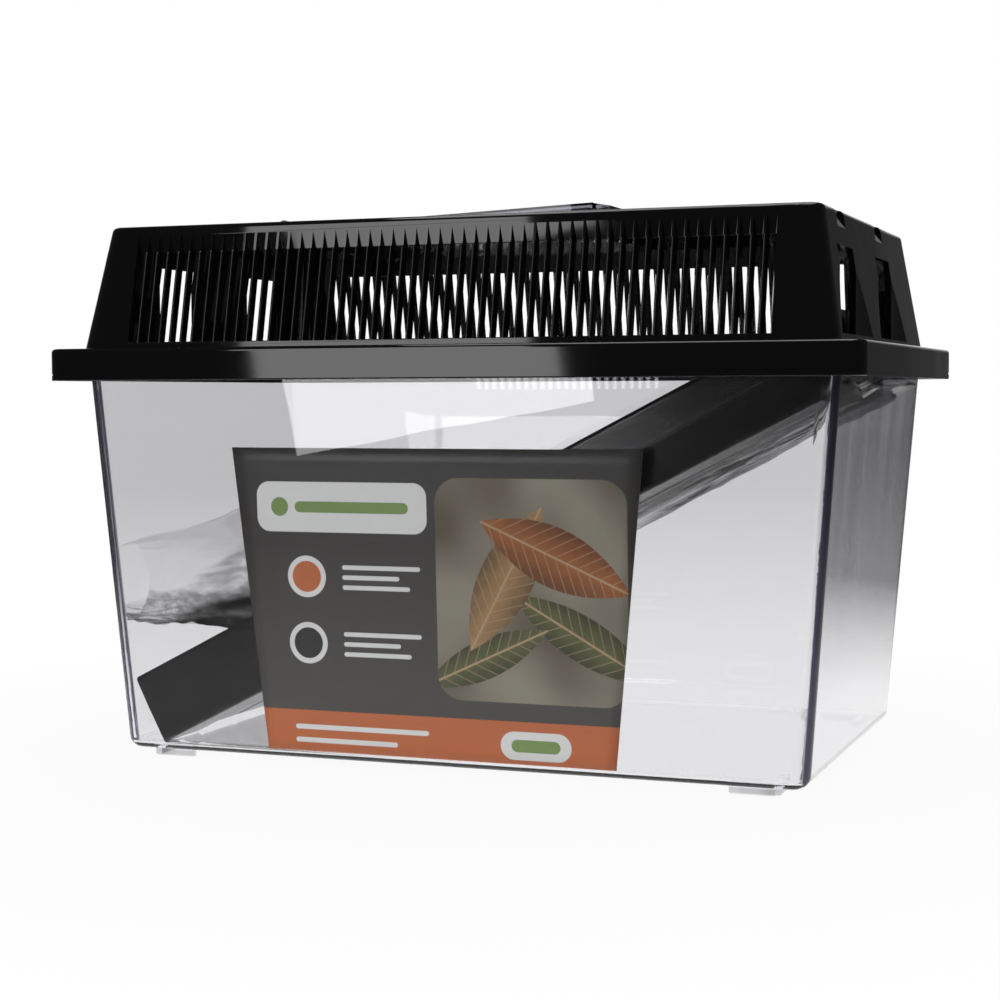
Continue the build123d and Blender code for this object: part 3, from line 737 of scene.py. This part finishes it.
# how far up the tubes the lap starts and how far short of their end it stops
LAP_START = 0.06
LAP_SHORT = 4.0 * MM
# how far it hangs down the front at its low and high ends, in millimetres
LAP_DROP = (12.0, 14.8)
LAP_GAP = 0.45 * MM
LAP_INSET = 0.2 * MM
LAP_LIFT = 0.5 * MM
LAP_STEPS = (60, 40)


def make_lap(reach, material):
    """The loose edge of the film, laid over the top of the loose tube and part way down its front."""
    along, across, over = reach
    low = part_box("tube_1")[0]
    top = over[1] - LIP + LAP_GAP
    run = along[1] - along[0] - LAP_SHORT - LAP_START
    mesh = bmesh.new()
    layers = mesh.verts.layers.float.new(GATHERED)
    rows = []
    for i in range(LAP_STEPS[0] + 1):
        u = i / LAP_STEPS[0]
        drop = (LAP_DROP[0] + (LAP_DROP[1] - LAP_DROP[0]) * u) * MM
        width = across[0] - LAP_INSET - low.y + LAP_GAP
        row = []
        for j in range(LAP_STEPS[1] + 1):
            way = j / LAP_STEPS[1] * (width + drop)
            over_edge = max(0.0, way - width)
            loose = ridge((40.0 * u, 5.0 * way / MM / 10.0, 0.0), 0.35, 41.0)
            loose *= min(1.0, over_edge / (4.0 * MM))
            hem = LAP_LIFT * ramp_between(over_edge / drop, 0.94, 1.0)
            y = max(low.y - LAP_GAP, across[0] - LAP_INSET - way) - LAP_LIFT * loose - hem
            h = top + 0.15 * MM * math.sin(19.0 * u) ** 2 * (over_edge == 0.0) - over_edge
            a = along[0] + LAP_START + run * u - h * END_LEAN * u + over[0] * END_LEAN * u
            vert = mesh.verts.new(ALONG * a + ACROSS * y + OVER * h)
            hem_layers = 0.35 * ramp_between(over_edge / drop, 0.955, 0.975)
            vert[layers] = hem_layers + 0.2 - 1.1 * ramp_between(u, 0.2, 0.7)
            row.append(vert)
        rows.append(row)
    for lower, upper in zip(rows, rows[1:]):
        for j in range(LAP_STEPS[1]):
            mesh.faces.new((lower[j], lower[j + 1], upper[j + 1], upper[j]))
    add_piece("film_lap", mesh, material, "tube_pack")


def add_piece(name, mesh, material, body):
    """A finished bmesh as a smooth piece that rides on a body."""
    data = bpy.data.meshes.new(name)
    bmesh.ops.recalc_face_normals(mesh, faces=mesh.faces)
    mesh.to_mesh(data)
    mesh.free()
    piece = bpy.data.objects.new(name, data)
    bpy.context.scene.collection.objects.link(piece)
    data.materials.append(material)
    for polygon in data.polygons:
        polygon.use_smooth = True
    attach(piece, body)
    return piece


# ---------------------------------------------------------------- stage and light


TABLE_REACH = 6.0
TABLE_FRONT = -0.55
TABLE_PAINT = (0.6, 0.6, 0.6, 1.0)
TABLE_EDGE_PAINT = (0.03, 0.03, 0.03, 1.0)
# how white the floor is to the camera near the box, and what clear plastic sees far from it
FLOOR_NEAR_WHITE = 0.94
GLASS_LEVEL = 0.86


def make_stage():
    """A plain pale table that ends in front of the box, white to the camera away from the shadow."""
    mesh = bmesh.new()
    corners = [mesh.verts.new(place) for place in (
        (-TABLE_REACH, TABLE_FRONT, 0.0), (TABLE_REACH, TABLE_FRONT, 0.0),
        (TABLE_REACH, TABLE_REACH, 0.0), (-TABLE_REACH, TABLE_REACH, 0.0),
    )]
    mesh.faces.new(corners)
    data = bpy.data.meshes.new("floor")
    mesh.to_mesh(data)
    mesh.free()
    floor = bpy.data.objects.new("floor", data)
    bpy.context.scene.collection.objects.link(floor)
    shader = Shader("floor_paint", Roughness=0.9)
    shader.surface.inputs["Specular IOR Level"].default_value = 0.1
    data.materials.append(shader.material)
    path = shader.add("LightPath")
    reflected = shader.math("MINIMUM", path.outputs["Glossy Depth"], 1.0)
    direct = shader.math("SUBTRACT", 1.0, reflected)
    seen = shader.math(
        "MAXIMUM", path.outputs["Is Camera Ray"],
        shader.math("MULTIPLY", path.outputs["Is Transmission Ray"], direct),
    )
    y = shader.parts(shader.place())[1]
    # the table darkens towards its front edge, so that no line of it shows in the tank's front
    paint = shader.mix(shader.ramp(y, TABLE_FRONT, -0.12), TABLE_EDGE_PAINT, TABLE_PAINT)
    shader.link(paint, shader.surface.inputs["Base Color"])
    behind = shader.ramp(y, -0.105, -0.075)
    seen = shader.math("MAXIMUM", seen, shader.math("MULTIPLY", reflected, behind))
    away = shader.vector("LENGTH", shader.place())
    share = shader.ramp(away, 0.16, 0.36, FLOOR_NEAR_WHITE, 1.0)
    white = shader.add("Emission")
    far = shader.ramp(away, 0.3, 2.2, 1.0, GLASS_LEVEL)
    mirrored = shader.ramp(away, 0.2, 0.6, 0.95, 0.06)
    level = shader.math(
        "ADD", shader.math("MULTIPLY", direct, far), shader.math("MULTIPLY", reflected, mirrored)
    )
    shader.link(shader.math("MAXIMUM", path.outputs["Is Camera Ray"], level), white.inputs["Strength"])
    mixed = shader.add("MixShader")
    shader.link(shader.math("MULTIPLY", seen, share), mixed.inputs[0])
    shader.link(shader.surface.outputs[0], mixed.inputs[1])
    shader.link(white.outputs[0], mixed.inputs[2])
    shader.link(mixed.outputs[0], shader.output.inputs["Surface"])


def area_lamp(name, place, target, size, power, roll):
    """A softbox that faces a point, turned by roll degrees about its own middle line."""
    data = bpy.data.lights.new(name, "AREA")
    data.shape = "RECTANGLE"
    data.size, data.size_y = size
    data.energy = power
    lamp = bpy.data.objects.new(name, data)
    bpy.context.scene.collection.objects.link(lamp)
    lamp.location = place
    facing = (Vector(target) - Vector(place)).to_track_quat("-Z", "Y")
    lamp.rotation_euler = (facing @ Quaternion((0.0, 0.0, 1.0), math.radians(roll))).to_euler()
    lamp.visible_camera = False


# the direction in which reflections find the backdrop, and how it falls off beside that
BACKDROP_SIDE = (-0.45, 0.89, 0.0)
BACKDROP_FALL = (0.80, 0.96, 0.05, 0.95)
ROOM_LEVEL = 0.5

# each lamp's name, place, target, size, power in watts and roll in degrees
LAMPS = [
    ("overhead", (0.0, 0.15, 1.5), (0.0, 0.0, 0.1), (1.2, 1.2), 13.0, 0.0),
    ("window", (-0.480, -1.1, 0.44), (0.0, 0.0, 0.44), (0.275, 0.88), 2.75, 8.4),
]


def make_light():
    """A room that is white behind the box and dim in front, with a tall window at the front left."""
    world = bpy.data.worlds.new("room")
    bpy.context.scene.world = world
    world.use_nodes = True
    nodes, links = world.node_tree.nodes, world.node_tree.links

    def maths(operation, a, b):
        node = nodes.new("ShaderNodeMath")
        node.operation = operation
        for value, socket in zip((a, b), node.inputs):
            if isinstance(value, float):
                socket.default_value = value
            else:
                links.new(value, socket)
        return node.outputs[0]

    background = nodes["Background"]
    background.inputs["Color"].default_value = (1.0, 1.0, 1.0, 1.0)
    path = nodes.new("ShaderNodeLightPath")
    toward = nodes.new("ShaderNodeVectorMath")
    toward.operation = "DOT_PRODUCT"
    links.new(nodes.new("ShaderNodeTexCoord").outputs["Generated"], toward.inputs[0])
    toward.inputs[1].default_value = BACKDROP_SIDE
    fall = nodes.new("ShaderNodeMapRange")
    fall.interpolation_type = "SMOOTHSTEP"
    for source, value in zip(("From Min", "From Max", "To Min", "To Max"), BACKDROP_FALL):
        fall.inputs[source].default_value = value
    links.new(toward.outputs["Value"], fall.inputs["Value"])
    reflected = maths("MINIMUM", path.outputs["Glossy Depth"], 1.0)
    direct = maths("SUBTRACT", 1.0, reflected)
    # glass and the camera see the backdrop, and what is lit sees the room
    level = maths("MULTIPLY", path.outputs["Is Transmission Ray"], GLASS_LEVEL)
    level = maths("MAXIMUM", level, ROOM_LEVEL)
    level = maths("MAXIMUM", level, path.outputs["Is Camera Ray"])
    strength = maths(
        "ADD", maths("MULTIPLY", reflected, fall.outputs[0]), maths("MULTIPLY", direct, level)
    )
    links.new(strength, background.inputs["Strength"])
    for lamp in LAMPS:
        area_lamp(*lamp)


def main():
    """Everything in order: camera, stage, light, then the object's pieces."""
    bpy.context.scene.view_settings.view_transform = "Standard"
    make_camera()
    make_stage()
    make_light()
    tube = tube_plastic()
    assign("lid", lid_plastic())
    for number in range(1, 5):
        assign(f"tube_{number}", tube)
    assign("tank", tank_plastic())
    assign("feeding_door", door_plastic())
    make_bag(film())
    make_card()


main()
